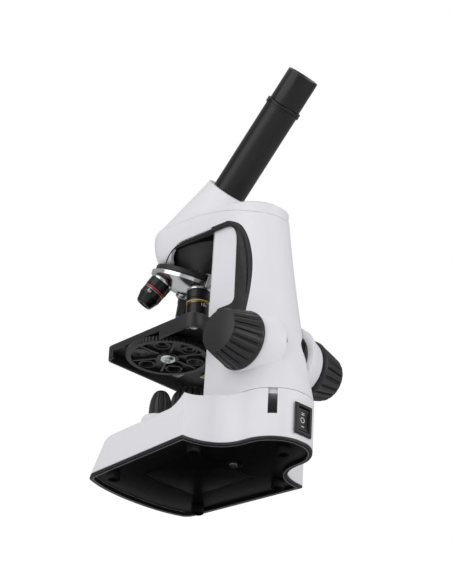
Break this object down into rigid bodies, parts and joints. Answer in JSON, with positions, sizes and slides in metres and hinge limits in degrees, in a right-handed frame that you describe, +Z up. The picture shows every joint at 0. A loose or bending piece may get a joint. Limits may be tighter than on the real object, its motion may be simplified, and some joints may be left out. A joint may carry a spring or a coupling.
{
  "type": "student microscope",
  "caption": "Student microscope with an inclined eyepiece tube, turning objective turret, rack-and-pinion stage, filter wheel and battery lamps.",
  "frame": {"origin": "centre of the bounding box at the surface that the rubber feet stand on", "axes": "+Z up, -Y the front where the user's slide goes on the stage, +Y the back with the column and eyepiece, +X the side with the brightness knob"},
  "size_m": [0.1068, 0.153, 0.2713],
  "materials": {
    "white_plastic": "satin",
    "black_plastic": "satin",
    "black_enamel": "gloss",
    "switch_plastic": "gloss",
    "polished_chrome": "polished",
    "bright_steel": "satin",
    "zinc_plate": "bright",
    "turned_brass": "satin",
    "optical_glass": "clear",
    "soft_rubber": "matte",
    "circuit_laminate": "satin",
    "cell_jacket": "gloss",
    "pale_plastic": "satin"
  },
  "bodies": {
    "stand": {"base_shell": "white_plastic", "arm_shell": "white_plastic", "head_cover": "white_plastic", "bottom_plate": "black_plastic", "battery_door": "black_plastic", "illuminator_housing": "black_plastic", "arm_liner": "black_plastic", "incident_lamp_housing": "black_plastic", "nosepiece_plate": "black_plastic", "nosepiece_funnel": "black_plastic", "eyepiece_tube": "black_enamel", "power_switch_body": "switch_plastic", "brightness_potentiometer": "bright_steel", "turret_pivot_screw": "bright_steel", "turret_detent_spring": "bright_steel", "guide_rod_right": "bright_steel", "guide_rod_left": "bright_steel", "battery_door_screw": "zinc_plate", "shaft_bush_right": "turned_brass", "shaft_bush_left": "turned_brass", "illuminator_lens": "optical_glass", "incident_lamp_lens": "optical_glass", "image_prism": "optical_glass", "foot_front_right": "soft_rubber", "foot_front_left": "soft_rubber", "foot_middle_right": "soft_rubber", "foot_middle_left": "soft_rubber", "foot_rear": "soft_rubber", "circuit_board": "circuit_laminate", "battery_1": "cell_jacket", "battery_2": "cell_jacket", "battery_3": "cell_jacket", "illuminator_led": "pale_plastic"},
    "eyepiece": {"eyepiece_barrel": "black_enamel", "eye_lens": "optical_glass", "field_lens": "optical_glass"},
    "turret": {"turret": "polished_chrome", "objective_4x": "black_enamel", "objective_4x_lens": "optical_glass", "objective_10x": "black_enamel", "objective_10x_lens": "optical_glass", "objective_40x": "black_enamel", "objective_40x_lens": "optical_glass"},
    "stage": {"stage_plate": "black_plastic", "stage_carriage": "black_plastic", "focus_rack": "black_plastic", "filter_wheel_screw": "zinc_plate", "wheel_detent_spring": "turned_brass", "clip_screw_right": "bright_steel", "clip_screw_left": "bright_steel"},
    "filter_wheel": {"filter_wheel": "black_plastic"},
    "clip_right": {"stage_clip_right": "bright_steel"},
    "clip_left": {"stage_clip_left": "bright_steel"},
    "focus_drive": {"focus_shaft": "bright_steel", "focus_pinion": "turned_brass", "focus_knob_right": "black_plastic", "focus_knob_left": "black_plastic"},
    "rocker": {"power_switch_rocker": "switch_plastic"},
    "brightness_knob": {"brightness_knob": "black_plastic"}
  },
  "joints": [
    {"name": "stage_lift", "type": "slide", "parent": "stand", "child": "stage", "axis": [0, 0, 1], "range_m": [-0.005, 0.0175]},
    {"name": "focus_turn", "type": "hinge", "parent": "stand", "child": "focus_drive", "pos_m": [0, 0.04775, 0.07], "axis": [1, 0, 0], "range_deg": [-168, 48]},
    {"name": "turret_turn", "type": "hinge", "parent": "stand", "child": "turret", "pos_m": [0, -0.02265, 0.176], "axis": [0, 0.3746, 0.9272], "continuous": true},
    {"name": "filter_wheel_turn", "type": "hinge", "parent": "stage", "child": "filter_wheel", "pos_m": [0.0163, -0.03075, 0.0868], "axis": [0, 0, 1], "continuous": true},
    {"name": "clip_right_swing", "type": "hinge", "parent": "stage", "child": "clip_right", "pos_m": [0.033, 0.00335, 0.0948], "axis": [0, 0, 1], "range_deg": [-15, 75]},
    {"name": "clip_left_swing", "type": "hinge", "parent": "stage", "child": "clip_left", "pos_m": [-0.033, 0.00335, 0.0948], "axis": [0, 0, 1], "range_deg": [-75, 15]},
    {"name": "rocker_tilt", "type": "hinge", "parent": "stand", "child": "rocker", "pos_m": [0, 0.07035, 0.019], "axis": [1, 0, 0], "range_deg": [-8, 8]},
    {"name": "brightness_turn", "type": "hinge", "parent": "stand", "child": "brightness_knob", "pos_m": [0.0318, -0.01845, 0.04], "axis": [0, 0, 1], "range_deg": [0, 270]},
    {"name": "eyepiece_lift", "type": "slide", "parent": "stand", "child": "eyepiece", "axis": [0, 0.7071, 0.7071], "range_m": [0, 0.02]}
  ],
  "couplings": [
    {"joint": "focus_turn", "follows": "stage_lift", "rad_per_m": -166.67}
  ]
}
